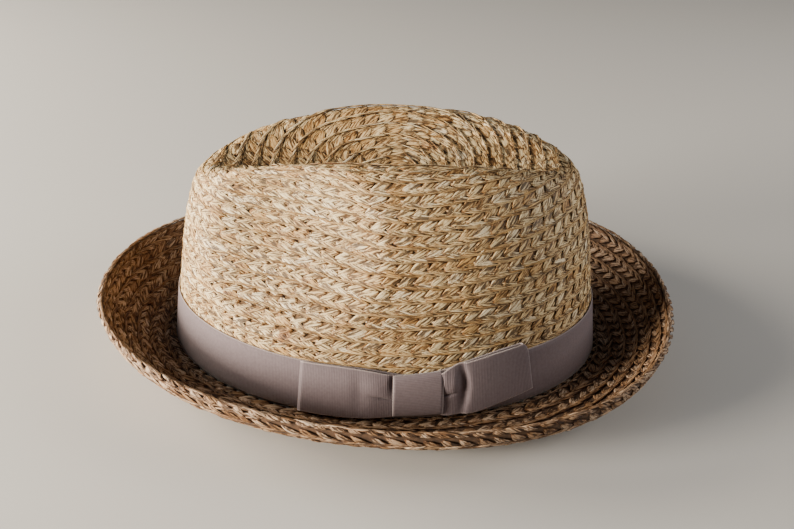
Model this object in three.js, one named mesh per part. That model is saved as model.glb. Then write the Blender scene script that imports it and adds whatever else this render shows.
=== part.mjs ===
// Straw trilby: a crown and an upturned brim sewn from raffia braid, with a ribbon band and a flat bow.
// Millimetres, +Z up. The front of the hat is at -X, the back at +X, and the bow is on the -Y side.
// The origin is in the middle of the flat ring that the hat rests on.
import * as THREE from 'three';

// Straw
const strawThickness = 2.5;
const seamGap = 0.3;
const stepsAround = 72;
// Small step, in radians and in shares, for the normals of the surfaces
const normalStep = 0.004;

// Crown, outside: half axes of the oval foot and of the ridge loop on top, heights above the foot
const crownFoot = { halfLength: 104.5, halfWidth: 85.1, height: strawThickness + seamGap };
const ridgeLoop = { middle: -1, halfLength: 89, halfWidth: 44 };
const ridgeArch = { height: 104.4, middle: 8, reach: 91, drop: 16.5, power: 2.4 };
const crownTip = { x: 4, height: 82, bowlPower: 1.4 };
// The ridge is softened by averaging points of the profile over this reach to each side
const crestSoftening = 7;
const softeningOffsets = [-1, -0.6, -0.2, 0.2, 0.6, 1];
const profileSteps = 40;
// Rings of the mesh on each side of the ridge, closer together near it
const crownRings = { dent: 8, wall: 16, crowding: 1.5 };
// How a wall leans in: the straight share of its lean, and how late the rest of it comes
const wallAtEnds = { straight: 0.6, power: 6 };
const wallAtSides = { straight: 0.29, power: 2.4 };

// Pinch in each side of the crown, toward the front: a hollow with soft edges
const pinch = {
  x: -44,
  towardFront: 36,
  towardBack: 49,
  level: 0.66,
  halfHeight: 0.4,
  depth: 13,
  edge: 1.2,
};

// Brim: outside of the rim, squarer than an ellipse and a little wider at the back, and its rise
const rimOval = { halfLength: 140.8, halfWidth: 130, squareness: 2.14, egg: 0.09 };
const rimRise = { atSides: 22, moreAtEnds: 2.3 };
// One row for each section across the brim, as shares of its width and of its rise
const brimSections = [
  { out: 0, up: 0 },
  { out: 0.16, up: 0 },
  { out: 0.32, up: 0.03 },
  { out: 0.5, up: 0.14 },
  { out: 0.68, up: 0.32 },
  { out: 0.82, up: 0.5 },
  { out: 0.92, up: 0.66 },
  { out: 0.975, up: 0.82 },
  { out: 1, up: 1 },
];

// Ribbon
const ribbonThickness = 1;
const bandHeights = [0.4, 12.5, 24.6];
const ribbonColumns = { loop: 3, knot: 5 };
const longestLoopStep = 7;
// The bow, one row for each turn of the ribbon: lengthwise place x, distance out from the band's face
// to the middle of the ribbon, and the heights of its lower and upper edges above the crown's foot
const frontLoop = [
  { x: 14, out: 0.8, low: 4.5, high: 20.5 },
  { x: 2, out: 0.8, low: 1.6, high: 23.6 },
  { x: -14, out: 0.8, low: 0.7, high: 24.6 },
  { x: -30, out: 0.8, low: 0.5, high: 24.8 },
  { x: -31.6, out: 1.1, low: 0.5, high: 24.8 },
  { x: -32.2, out: 1.8, low: 0.5, high: 24.8 },
  { x: -31.6, out: 2.5, low: 0.5, high: 24.8 },
  { x: -30, out: 2.8, low: 0.5, high: 24.8 },
  { x: -14, out: 3.3, low: 0.7, high: 24.8 },
  { x: -2, out: 3.5, low: 1.2, high: 24.2 },
  { x: 5, out: 2.9, low: 2.2, high: 23 },
  { x: 14, out: 2.6, low: 4.5, high: 20.5 },
];
const backLoop = [
  { x: 26, out: 0.8, low: 4.5, high: 20.5 },
  { x: 38, out: 0.8, low: 3.2, high: 24.6 },
  { x: 54, out: 1, low: 4.6, high: 27.2 },
  { x: 66.6, out: 1.6, low: 6.9, high: 28.9 },
  { x: 68, out: 2.1, low: 7.2, high: 29.2 },
  { x: 68.5, out: 2.9, low: 7.3, high: 29.3 },
  { x: 68, out: 3.7, low: 7.2, high: 29.2 },
  { x: 66, out: 4.2, low: 6.8, high: 28.8 },
  { x: 54, out: 5, low: 4.4, high: 27.6 },
  { x: 45, out: 5.6, low: 3.2, high: 26.6 },
  { x: 40, out: 5.2, low: 3, high: 26 },
  { x: 36, out: 3.4, low: 3.2, high: 24.4 },
  { x: 31, out: 2.6, low: 3.8, high: 22 },
  { x: 26, out: 2.6, low: 4.5, high: 20.5 },
];
// The knot's ribbon runs up over both loops: distance out from the band's face and height
const knotSpan = { from: 9.4, to: 30.6 };
const knotPath = [
  { out: 0.8, height: 2.2 },
  { out: 2.6, height: 1.7 },
  { out: 4.2, height: 2.6 },
  { out: 4.9, height: 6 },
  { out: 5.1, height: 12.5 },
  { out: 4.9, height: 19 },
  { out: 4.2, height: 22.6 },
  { out: 2.6, height: 23.5 },
  { out: 0.8, height: 23 },
];

const vector = (x, y, z) => new THREE.Vector3(x, y, z);
const sideTurn = -Math.PI / 2;

// Crown surface

function ridgePoint(turn) {
  const x = ridgeLoop.middle + ridgeLoop.halfLength * Math.cos(turn);
  const fall = ridgeArch.drop * (Math.abs(x - ridgeArch.middle) / ridgeArch.reach) ** ridgeArch.power;
  return vector(x, ridgeLoop.halfWidth * Math.sin(turn), ridgeArch.height - fall);
}

// A point of the wall before the pinch, at a height above the foot
function wallPoint(turn, height) {
  const ridge = ridgePoint(turn);
  const side = Math.sin(turn) ** 2;
  const straight = THREE.MathUtils.lerp(wallAtEnds.straight, wallAtSides.straight, side);
  const power = THREE.MathUtils.lerp(wallAtEnds.power, wallAtSides.power, side);
  const level = height / ridge.z;
  const lean = straight * level + (1 - straight) * level ** power;
  const x = THREE.MathUtils.lerp(crownFoot.halfLength * Math.cos(turn), ridge.x, lean);
  const y = THREE.MathUtils.lerp(crownFoot.halfWidth * Math.sin(turn), ridge.y, lean);
  return vector(x, y, height);
}

// The bowl of the dent between the tip and the ridge loop, at a share of the way out
function dentPoint(turn, share) {
  const ridge = ridgePoint(turn);
  const x = THREE.MathUtils.lerp(crownTip.x, ridge.x, share);
  const z = THREE.MathUtils.lerp(crownTip.height, ridge.z, share ** crownTip.bowlPower);
  return vector(x, ridge.y * share, z);
}

// The profile from the tip over the ridge to the foot, with the length run so far at each point
function crownProfile(turn) {
  const ridge = ridgePoint(turn);
  const points = [];
  for (let i = 0; i < profileSteps; i++) points.push(dentPoint(turn, i / profileSteps));
  for (let i = profileSteps; i >= 0; i--) points.push(wallPoint(turn, (ridge.z * i) / profileSteps));
  const lengths = [0];
  for (let i = 1; i < points.length; i++) {
    lengths.push(lengths[i - 1] + points[i].distanceTo(points[i - 1]));
  }
  const total = lengths[2 * profileSteps];
  return { points, lengths, total, crest: lengths[profileSteps] / total };
}

function pointAt(profile, length) {
  const { points, lengths } = profile;
  let i = 1;
  while (i < lengths.length - 1 && lengths[i] < length) i++;
  const share = (length - lengths[i - 1]) / (lengths[i] - lengths[i - 1]);
  return points[i - 1].clone().lerp(points[i], share);
}

// Pushes a point of the wall in toward the middle plane; level is 0 at the foot and 1 at the ridge
function pinched(point, level) {
  const run = point.x < pinch.x ? pinch.towardFront : pinch.towardBack;
  const away = ((point.x - pinch.x) / run) ** 2 + ((level - pinch.level) / pinch.halfHeight) ** 2;
  if (away < 1) point.y -= Math.sign(point.y) * pinch.depth * (1 - away) ** pinch.edge;
  return point;
}

// Outside of the crown; share runs from 0 at the tip to 1 at the foot, even along the surface
function crownOutside(turn, share) {
  const profile = crownProfile(turn);
  const length = share * profile.total;
  const reach = Math.min(crestSoftening, length, profile.total - length);
  const point = vector(0, 0, 0);
  for (const offset of softeningOffsets) {
    point.addScaledVector(pointAt(profile, length + offset * reach), 1 / softeningOffsets.length);
  }
  pinched(point, (1 - share) / (1 - profile.crest));
  point.z += crownFoot.height;
  return point;
}

// The surface's outward normal, from its neighbours
function normalOf(surface, turn, share) {
  const around = surface(turn + normalStep, share).sub(surface(turn - normalStep, share));
  const further = surface(turn, Math.min(share + normalStep, 1));
  const nearer = surface(turn, Math.max(share - normalStep, 0));
  return further.sub(nearer).cross(around).normalize();
}

// Brim surface

function superOval(turn, half, squareness) {
  const reach = (value) => Math.sign(value) * Math.abs(value) ** (2 / squareness);
  const x = half.halfLength * reach(Math.cos(turn));
  return vector(x, half.halfWidth * reach(Math.sin(turn)), 0);
}

function sectionAt(out) {
  let i = 1;
  while (i < brimSections.length - 1 && brimSections[i].out < out) i++;
  const inner = brimSections[i - 1];
  const outer = brimSections[i];
  return THREE.MathUtils.mapLinear(out, inner.out, outer.out, inner.up, outer.up);
}

// Top of the brim; out runs from 0 at the crown's foot to 1 at the rim
function brimTop(turn, out) {
  const foot = superOval(turn, crownFoot, 2);
  const rimInside = {
    halfLength: rimOval.halfLength - strawThickness,
    halfWidth: rimOval.halfWidth - strawThickness,
  };
  const rim = superOval(turn, rimInside, rimOval.squareness);
  rim.y *= 1 + rimOval.egg * Math.cos(turn);
  const rise = rimRise.atSides + rimRise.moreAtEnds * Math.cos(turn) ** 2;
  const point = foot.lerp(rim, out);
  point.z = strawThickness + rise * sectionAt(out);
  return point;
}

// Solids

// A closed body from vertices and triangles, turned so that its faces point out
function closedGeometry(vertices, triangles) {
  let volume = 0;
  for (const [a, b, c] of triangles) {
    volume += vertices[a].dot(vertices[b].clone().cross(vertices[c]));
  }
  const order = volume < 0 ? triangles.map(([a, b, c]) => [a, c, b]) : triangles;
  const geometry = new THREE.BufferGeometry();
  const positions = vertices.flatMap((point) => point.toArray());
  geometry.setAttribute('position', new THREE.Float32BufferAttribute(positions, 3));
  geometry.setIndex(order.flat());
  geometry.computeVertexNormals();
  return geometry;
}

function ring(makePoint) {
  return Array.from({ length: stepsAround }, (_, i) => makePoint((2 * Math.PI * i) / stepsAround));
}

function joinRings(triangles, first, second) {
  for (let i = 0; i < stepsAround; i++) {
    const next = (i + 1) % stepsAround;
    triangles.push([first + i, second + i, second + next], [first + i, second + next, first + next]);
  }
}

// A ring-shaped body whose section is the loop of rings
function ringBody(rings) {
  const triangles = [];
  rings.forEach((_, i) => joinRings(triangles, i * stepsAround, ((i + 1) % rings.length) * stepsAround));
  return closedGeometry(rings.flat(), triangles);
}

// A cap-shaped body: rings from the outer pole down to the foot and back up to the inner pole
function capBody(outerPole, rings, innerPole) {
  const vertices = [...rings.flat(), outerPole, innerPole];
  const outer = vertices.length - 2;
  const inner = vertices.length - 1;
  const lastRing = (rings.length - 1) * stepsAround;
  const triangles = [];
  for (let i = 1; i < rings.length; i++) joinRings(triangles, (i - 1) * stepsAround, i * stepsAround);
  for (let i = 0; i < stepsAround; i++) {
    const next = (i + 1) % stepsAround;
    triangles.push([outer, i, next], [inner, lastRing + next, lastRing + i]);
  }
  return closedGeometry(vertices, triangles);
}

// A thin body between two equal grids of points, such as the two faces of a ribbon
function sheetBody(front, back) {
  const rows = front.length;
  const columns = front[0].length;
  const faceSize = rows * columns;
  const triangles = [];
  const quad = (a, b, c, d) => triangles.push([a, b, c], [a, c, d]);
  for (let i = 0; i < rows - 1; i++) {
    for (let j = 0; j < columns - 1; j++) {
      const corner = i * columns + j;
      const opposite = faceSize + corner;
      quad(corner, corner + 1, corner + columns + 1, corner + columns);
      quad(opposite, opposite + columns, opposite + columns + 1, opposite + 1);
    }
  }
  const edge = (a, b) => quad(a, faceSize + a, faceSize + b, b);
  for (let i = 0; i < rows - 1; i++) {
    edge((i + 1) * columns, i * columns);
    edge(i * columns + columns - 1, (i + 1) * columns + columns - 1);
  }
  for (let j = 0; j < columns - 1; j++) {
    edge(j, j + 1);
    edge((rows - 1) * columns + j + 1, (rows - 1) * columns + j);
  }
  return closedGeometry([...front.flat(), ...back.flat()], triangles);
}

// Pieces

// Where each ring of the crown lies, as a share of the way from the tip to the foot
function ringShare(turn, index) {
  const { dent, wall, crowding } = crownRings;
  const { crest } = crownProfile(turn);
  if (index <= dent) return crest * (1 - (1 - index / dent) ** crowding);
  return crest + (1 - crest) * ((index - dent) / wall) ** crowding;
}

function crownGeometry() {
  const outerRings = [];
  const innerRings = [];
  const inside = (turn, share) =>
    crownOutside(turn, share).addScaledVector(normalOf(crownOutside, turn, share), -strawThickness);
  for (let index = 1; index <= crownRings.dent + crownRings.wall; index++) {
    outerRings.push(ring((turn) => crownOutside(turn, ringShare(turn, index))));
    innerRings.unshift(ring((turn) => inside(turn, ringShare(turn, index))));
  }
  for (const point of innerRings[0]) point.z = crownFoot.height;
  const tip = crownOutside(0, 0);
  const innerTip = tip.clone().setZ(tip.z - strawThickness);
  return capBody(tip, [...outerRings, ...innerRings], innerTip);
}

function brimGeometry() {
  const footInside = {
    halfLength: crownFoot.halfLength - strawThickness,
    halfWidth: crownFoot.halfWidth - strawThickness,
  };
  const innerEdge = (height) => ring((turn) => superOval(turn, footInside, 2).setZ(height));
  const underside = (turn, out) => {
    const point = brimTop(turn, out).addScaledVector(normalOf(brimTop, turn, out), -strawThickness);
    return point.setZ(Math.max(point.z, 0));
  };
  const top = brimSections.map(({ out }) => ring((turn) => brimTop(turn, out)));
  const bottom = brimSections.map(({ out }) => ring((turn) => underside(turn, out))).reverse();
  return ringBody([innerEdge(strawThickness), ...top, ...bottom, innerEdge(0)]);
}

// A point beside the crown's wall on a plan normal: distance out from the straw, height above the foot
function besideWall(turn, out, height) {
  const { halfLength, halfWidth } = crownFoot;
  const normal = vector(Math.cos(turn) / halfLength, Math.sin(turn) / halfWidth, 0).normalize();
  const point = wallPoint(turn, height).addScaledVector(normal, out);
  point.z += crownFoot.height;
  return point;
}

function bandGeometry() {
  const face = (out) => bandHeights.map((height) => ring((turn) => besideWall(turn, out, height)));
  return ringBody([...face(seamGap), ...face(seamGap + ribbonThickness).reverse()]);
}

// A point beside the band's outer face, at a lengthwise place on the bow's side
function besideBand(x, out, height) {
  const turn = sideTurn + Math.asin(x / crownFoot.halfLength);
  return besideWall(turn, out + seamGap + ribbonThickness, height);
}

// Front and back faces of a ribbon that follows a path of points, half its thickness to each side
function ribbonFaces(columns) {
  const offsetColumn = (points, direction, lift) =>
    points.map((point, i) => {
      const ahead = points[Math.min(i + 1, points.length - 1)];
      const behind = points[Math.max(i - 1, 0)];
      const normal = ahead.clone().sub(behind).cross(lift).normalize();
      return point.clone().addScaledVector(normal, (direction * ribbonThickness) / 2);
    });
  const face = (direction) => {
    const offset = columns.map(({ points, lift }) => offsetColumn(points, direction, lift));
    return offset[0].map((_, i) => offset.map((column) => column[i]));
  };
  return sheetBody(face(1), face(-1));
}

// Adds rows between a loop's own, so that its ribbon bends with the band
function closeRows(table) {
  const rows = [table[0]];
  for (let i = 1; i < table.length; i++) {
    const from = table[i - 1];
    const steps = Math.ceil(Math.abs(table[i].x - from.x) / longestLoopStep);
    for (let k = 1; k <= steps; k++) {
      const blend = (name) => THREE.MathUtils.lerp(from[name], table[i][name], k / steps);
      rows.push({ x: blend('x'), out: blend('out'), low: blend('low'), high: blend('high') });
    }
  }
  return rows;
}

function loopGeometry(table) {
  const lift = vector(0, 0, 1);
  const rows = closeRows(table);
  const columns = Array.from({ length: ribbonColumns.loop }, (_, j) => {
    const share = j / (ribbonColumns.loop - 1);
    const heightIn = ({ low, high }) => THREE.MathUtils.lerp(low, high, share);
    return { points: rows.map((row) => besideBand(row.x, row.out, heightIn(row))), lift };
  });
  return ribbonFaces(columns);
}

function knotGeometry() {
  const columns = Array.from({ length: ribbonColumns.knot }, (_, j) => {
    const x = THREE.MathUtils.lerp(knotSpan.from, knotSpan.to, j / (ribbonColumns.knot - 1));
    const points = knotPath.map(({ out, height }) => besideBand(x, out, height));
    const lift = besideBand(x + 1, 0, 12).sub(besideBand(x - 1, 0, 12)).normalize();
    return { points, lift };
  });
  return ribbonFaces(columns);
}

const straw = new THREE.MeshStandardMaterial({ color: 0xd2b58a, roughness: 0.75, metalness: 0 });
const ribbon = new THREE.MeshStandardMaterial({ color: 0x9c8a88, roughness: 0.85, metalness: 0 });

const hat = new THREE.Group();
function addPiece(name, geometry, material) {
  const mesh = new THREE.Mesh(geometry, material);
  mesh.name = name;
  hat.add(mesh);
}

addPiece('crown', crownGeometry(), straw);
addPiece('brim', brimGeometry(), straw);
addPiece('ribbon_band', bandGeometry(), ribbon);
addPiece('bow_front_loop', loopGeometry(frontLoop), ribbon);
addPiece('bow_back_loop', loopGeometry(backLoop), ribbon);
addPiece('bow_knot', knotGeometry(), ribbon);

export default hat;
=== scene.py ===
# A straw trilby sewn from raffia plait, with a grosgrain band and a flat bow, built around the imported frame.
import math

import bpy
import numpy as np
from mathutils import Matrix, Vector


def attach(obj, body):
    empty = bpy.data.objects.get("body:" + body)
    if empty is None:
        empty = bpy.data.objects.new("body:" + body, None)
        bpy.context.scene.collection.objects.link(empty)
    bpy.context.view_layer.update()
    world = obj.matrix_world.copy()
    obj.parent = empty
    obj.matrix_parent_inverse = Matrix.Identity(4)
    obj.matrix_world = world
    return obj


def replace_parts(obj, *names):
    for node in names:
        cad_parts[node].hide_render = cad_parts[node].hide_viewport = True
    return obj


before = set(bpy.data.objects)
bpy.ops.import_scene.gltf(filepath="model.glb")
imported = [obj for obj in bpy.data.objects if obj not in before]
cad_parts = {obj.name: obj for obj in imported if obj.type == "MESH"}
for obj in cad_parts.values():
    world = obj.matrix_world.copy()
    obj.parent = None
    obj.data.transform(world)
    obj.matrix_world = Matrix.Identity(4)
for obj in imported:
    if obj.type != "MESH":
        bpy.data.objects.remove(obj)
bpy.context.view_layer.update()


# Crown foundation: the shell that the plait is sewn into, blocked over a wooden form while damp.
# Its front and back stand steep, its sides lean in, and the top is pushed down into a long dent
# inside a ridge, with a pinch in each side toward the front. Sizes here are in millimetres.
MM = 0.001
STRAW_THICKNESS = 2.5
FOOT = {"length": 104.5, "width": 85.1, "height": 2.8}
RIDGE = {"middle": -1.0, "length": 89.0, "width": 44.0}
RIDGE_ARCH = {"height": 104.4, "middle": 8.0, "reach": 91.0, "drop": 16.5, "power": 2.4}
DENT = {"tip_x": 4.0, "tip_height": 82.0, "bowl_power": 1.4}
RIDGE_SOFTENING = 7.0
SOFTENING_OFFSETS = np.array([-1.0, -0.6, -0.2, 0.2, 0.6, 1.0])
WALL_AT_ENDS = {"straight": 0.6, "power": 6.0}
WALL_AT_SIDES = {"straight": 0.29, "power": 2.4}
PINCH = {"x": -44.0, "to_front": 36.0, "to_back": 49.0, "level": 0.66, "half_height": 0.4, "depth": 13.0}
PINCH_EDGE = 1.2
PROFILE_STEPS = 40
CROWN_GRID = {"around": 240, "along": 130}


def between(start, end, share):
    return start + (end - start) * share


def ridge_point(turn):
    x = RIDGE["middle"] + RIDGE["length"] * math.cos(turn)
    fall = (abs(x - RIDGE_ARCH["middle"]) / RIDGE_ARCH["reach"]) ** RIDGE_ARCH["power"]
    return x, RIDGE["width"] * math.sin(turn), RIDGE_ARCH["height"] - RIDGE_ARCH["drop"] * fall


def wall_points(turn, heights):
    """Points of the wall before the pinch, at heights above the crown's foot."""
    ridge_x, ridge_y, ridge_z = ridge_point(turn)
    side = math.sin(turn) ** 2
    straight = between(WALL_AT_ENDS["straight"], WALL_AT_SIDES["straight"], side)
    power = between(WALL_AT_ENDS["power"], WALL_AT_SIDES["power"], side)
    level = heights / ridge_z
    lean = straight * level + (1 - straight) * level**power
    x = between(FOOT["length"] * math.cos(turn), ridge_x, lean)
    y = between(FOOT["width"] * math.sin(turn), ridge_y, lean)
    return np.stack([x, y, heights], axis=-1)


def crown_profile(turn, shares):
    """Points of the crown's outside at shares of the way from the dent's tip to the foot."""
    ridge_x, ridge_y, ridge_z = ridge_point(turn)
    steps = np.arange(PROFILE_STEPS) / PROFILE_STEPS
    dent = np.stack([
        between(DENT["tip_x"], ridge_x, steps),
        ridge_y * steps,
        between(DENT["tip_height"], ridge_z, steps ** DENT["bowl_power"]),
    ], axis=-1)
    heights = ridge_z * (1 - np.arange(PROFILE_STEPS + 1) / PROFILE_STEPS)
    line = np.vstack([dent, wall_points(turn, heights)])
    lengths = np.concatenate([[0], np.cumsum(np.linalg.norm(np.diff(line, axis=0), axis=1))])
    total = lengths[-1]
    places = shares * total
    reach = np.minimum(RIDGE_SOFTENING, np.minimum(places, total - places))
    spread = places[:, None] + SOFTENING_OFFSETS * reach[:, None]
    points = np.stack([np.interp(spread, lengths, line[:, i]).mean(axis=1) for i in range(3)], axis=-1)
    level = (1 - shares) / (1 - lengths[PROFILE_STEPS] / total)
    run = np.where(points[:, 0] < PINCH["x"], PINCH["to_front"], PINCH["to_back"])
    away = ((points[:, 0] - PINCH["x"]) / run) ** 2
    away += ((level - PINCH["level"]) / PINCH["half_height"]) ** 2
    push = PINCH["depth"] * np.clip(1 - away, 0, 1) ** PINCH_EDGE
    points[:, 1] -= np.sign(points[:, 1]) * push
    points[:, 2] += FOOT["height"]
    return points


def turns_around(count):
    return np.arange(count) * 2 * math.pi / count


def grid_normals(grid):
    """Outward normals of a grid that closes around its first axis."""
    around = np.roll(grid, -1, axis=0) - np.roll(grid, 1, axis=0)
    along = np.gradient(grid, axis=1)
    normals = np.cross(along, around)
    length = np.linalg.norm(normals, axis=2, keepdims=True)
    normals /= np.maximum(length, 1e-9)
    normals[:, 0] = normals[:, 1].mean(axis=0) / np.linalg.norm(normals[:, 1].mean(axis=0))
    return normals


def new_object(name, vertices, faces, edges=()):
    """A mesh object at the origin from points in millimetres."""
    mesh = bpy.data.meshes.new(name)
    places = (np.asarray(vertices) * MM).tolist()
    mesh.from_pydata(places, list(edges), [list(map(int, face)) for face in faces])
    mesh.update()
    piece = bpy.data.objects.new(name, mesh)
    bpy.context.scene.collection.objects.link(piece)
    return piece


def grid_faces(around, along, start=0, flip=False):
    """Quads of a grid that closes around its first axis, its points stored one profile after another."""
    faces = []
    for i in range(around):
        for j in range(along - 1):
            here = start + i * along + j
            beside = start + (i + 1) % around * along + j
            quad = (here, here + 1, beside + 1, beside)
            faces.append(quad[::-1] if flip else quad)
    return faces


def sheet_object(name, grid, flip=False):
    """An open skin over a grid, for the plait to lie on."""
    around, along = grid.shape[:2]
    skin = new_object(name, grid.reshape(-1, 3), grid_faces(around, along, flip=flip))
    skin.data.shade_smooth()
    skin.hide_render = True
    return skin


def shell_object(name, outer, inner, closed_top):
    """A closed wall between two grids; a crown's grids meet in a pole at their first column."""
    around, along = outer.shape[:2]
    count = around * along
    faces = grid_faces(around, along) + grid_faces(around, along, start=count, flip=True)
    for i in range(around):
        here = i * along
        beside = (i + 1) % around * along
        last = along - 1
        faces.append((here + last, count + here + last, count + beside + last, beside + last))
        if not closed_top:
            faces.append((beside, count + beside, count + here, here))
    vertices = np.vstack([outer.reshape(-1, 3), inner.reshape(-1, 3)])
    if closed_top:
        faces.append([i * along for i in range(around)])
        faces.append([count + i * along for i in range(around)][::-1])
    shell = new_object(name, vertices, faces)
    shell.data.shade_smooth()
    return shell


def plainer(grid):
    """A grid with fewer points, enough for a shell under the plait."""
    return grid[::4, 1::2]


shares = np.linspace(0, 1, CROWN_GRID["along"])
crown_grid = np.stack([crown_profile(turn, shares) for turn in turns_around(CROWN_GRID["around"])])
crown_normals = grid_normals(crown_grid)
SHELL_DEPTHS = (0.7, 1.9)
crown_shell = shell_object(
    "crown_shell", *(plainer(crown_grid - crown_normals * depth) for depth in SHELL_DEPTHS), closed_top=True
)


def linear(hex_colour):
    """The linear value of an sRGB colour such as '#d8bd90'."""
    channels = [int(hex_colour[i:i + 2], 16) / 255 for i in (1, 3, 5)]
    curve = [c / 12.92 if c <= 0.04045 else ((c + 0.055) / 1.055) ** 2.4 for c in channels]
    return (*curve, 1.0)


def add_node(tree, kind, inputs=None, **settings):
    """Adds a node; each of its inputs is a value, or the socket it is linked from."""
    node = tree.nodes.new(kind)
    for name, value in settings.items():
        setattr(node, name, value)
    for name, value in (inputs or {}).items():
        if isinstance(value, bpy.types.NodeSocket):
            tree.links.new(value, node.inputs[name])
        else:
            node.inputs[name].default_value = value
    return node


def new_material(name):
    """An empty material with its output, and the tree to fill."""
    material = bpy.data.materials.new(name)
    material.use_nodes = True
    material.node_tree.nodes.clear()
    return material, material.node_tree


def colour_ramp(tree, factor, stops):
    """A ramp from (position, colour) stops."""
    node = add_node(tree, "ShaderNodeValToRGB", {"Fac": factor})
    for _ in stops[2:]:
        node.color_ramp.elements.new(0.5)
    for element, (position, colour) in zip(node.color_ramp.elements, stops):
        element.position = position
        element.color = linear(colour)
    return node.outputs["Color"]


MOTTLE_SIZE = 2.5


def gap_shade_material(name, dark, pale):
    """Raffia under the plait: the same dry leaf seen only through the gaps, coloured dark and dull as painted
    shade.
    """
    material, tree = new_material(name)
    place = add_node(tree, "ShaderNodeTexCoord").outputs["Object"]
    mottle = add_node(
        tree, "ShaderNodeTexNoise", {"Vector": place, "Scale": 1 / (MOTTLE_SIZE * MM), "Detail": 3.0}
    )
    surface = add_node(tree, "ShaderNodeBsdfPrincipled", {
        "Base Color": colour_ramp(tree, mottle.outputs["Fac"], [(0.3, dark), (0.7, pale)]),
        "Roughness": 0.9,
    })
    add_node(tree, "ShaderNodeOutputMaterial", {"Surface": surface.outputs["BSDF"]})
    return material


# The crown's shell is painted dark, as the shade inside the plait's gaps
crown_shell.data.materials.append(gap_shade_material("raffia painted with shade in the crown's gaps", "#5c432c", "#8c6c4a"))
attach(crown_shell, "root")
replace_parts(crown_shell, "crown")


# Raffia plait on the crown: one flat plait, sewn edge over edge in a spiral from the dent's tip to the
# foot. Each row shows a broad folded leaf that slants up and is pointed at its lower end, and under it
# narrow rolled strands, of which the lowest is the lip that stands proud of the next row.
ROW_SPACING = 5.73
CROWN_ROWS = 26.2
# Toward the back of the hat the rows lie a little further apart
BACK_ROWS_WIDER = 1.1
# From the dent's tip to the ridge round it, along the profile. Columns: turn in degrees, millimetres
RIDGE_LENGTHS = np.array([
    (0, 78.0),
    (30, 72.2),
    (60, 56.5),
    (90, 47.4),
    (120, 60.3),
    (150, 78.3),
    (165, 84.9),
    (180, 86.8),
    (195, 84.9),
    (210, 78.3),
    (240, 60.3),
    (270, 47.4),
    (300, 56.5),
    (330, 72.2),
])
PATH_STEP = 0.02
# From one strand to the next of the same arm
PLAIT_PITCH = 7.1
# Columns: along the strand, aside of its middle line, half its width, lift
LEAF_STATIONS = [
    (0.0, 0.32, 0.05, 0.1),
    (0.16, 0.2, 0.5, 0.75),
    (0.36, 0.06, 0.9, 1.0),
    (0.58, 0.0, 1.05, 0.95),
    (0.8, 0.0, 1.0, 0.55),
    (1.0, 0.0, 0.85, -0.3),
]
ROLL_STATIONS = [
    (0.0, 0.3, 0.2, 0.3),
    (0.18, 0.06, 0.85, 0.95),
    (0.48, 0.0, 1.0, 1.0),
    (0.8, 0.0, 0.8, 0.8),
    (1.0, -0.1, 0.25, 0.0),
]
# Columns: aside of the strand's middle line, lift; a notch is where the dried leaf is folded
LEAF_SECTION = [
    (-1.0, 0.05),
    (-0.82, 0.75),
    (-0.55, 0.15),
    (-0.3, 0.95),
    (-0.02, 0.3),
    (0.26, 1.0),
    (0.52, 0.2),
    (0.78, 0.85),
    (1.0, 0.05),
    (0.0, -0.5),
]
ROLL_SECTION = [
    (-1.0, 0.05),
    (-0.5, 0.85),
    (0.02, 0.5),
    (0.5, 1.0),
    (1.0, 0.05),
    (0.0, -0.35),
]


def strand_template(name, station_table, section_table):
    """A strand of length and width 1; how far each point lifts is kept apart from its place."""
    stations = len(station_table)
    section = len(section_table)
    points = []
    lifts = []
    asides = []
    for along, curl, half_width, lift in station_table:
        for aside, rise in section_table:
            points.append((along - 0.5, (curl + aside * half_width) / 2, 0.0))
            lifts.append(rise * max(lift, 0.1) + min(lift, 0))
            asides.append(aside * half_width)
    faces = []
    for i in range(stations - 1):
        for j in range(section):
            here = i * section + j
            beside = i * section + (j + 1) % section
            faces.append((here, here + section, beside + section, beside))
    faces.append(range(section))
    faces.append(range(stations * section - 1, (stations - 1) * section - 1, -1))
    template = new_object(name, np.array(points) / MM, faces)
    mesh = template.data
    mesh.shade_smooth()
    alongs = [point[0] for point in points]
    for kept, values in (("lift", lifts), ("aside", asides), ("along", alongs)):
        mesh.attributes.new(kept, "FLOAT", "POINT").data.foreach_set("value", values)
    return template


ARM_INPUTS = {
    "strand": "NodeSocketObject",
    "slant": "NodeSocketFloat",
    "length": "NodeSocketFloat",
    "width": "NodeSocketFloat",
    "thickness": "NodeSocketFloat",
    "across": "NodeSocketFloat",
    "shift": "NodeSocketFloat",
    "rise": "NodeSocketFloat",
    "fall": "NodeSocketFloat",
    "tilt": "NodeSocketFloat",
    "palest": "NodeSocketFloat",
    "drawn width": "NodeSocketFloat",
    "drawn slant": "NodeSocketFloat",
    "drawn palest": "NodeSocketFloat",
}
UNSCALED_INPUTS = ("strand", "slant", "palest", "drawn width", "drawn slant", "drawn palest")
# How far strands stray where the plait is loosest: the slant in radians, the next four in shares of
# their size, the rest in millimetres
STRAY = {
    "slant": (-0.17, 0.17),
    "length": (-0.1, 0.1),
    "width": (-0.2, 0.14),
    "palest": (0.0, 1.0),
    "thickness": (-0.15, 0.15),
    "height": (-0.12 * MM, 0.12 * MM),
    "lean": (-0.15 * MM, 0.15 * MM),
    "across": (-0.25 * MM, 0.25 * MM),
    "shift": (-0.5 * MM, 0.5 * MM),
}
SEEDS_PER_ARM = 20


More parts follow.
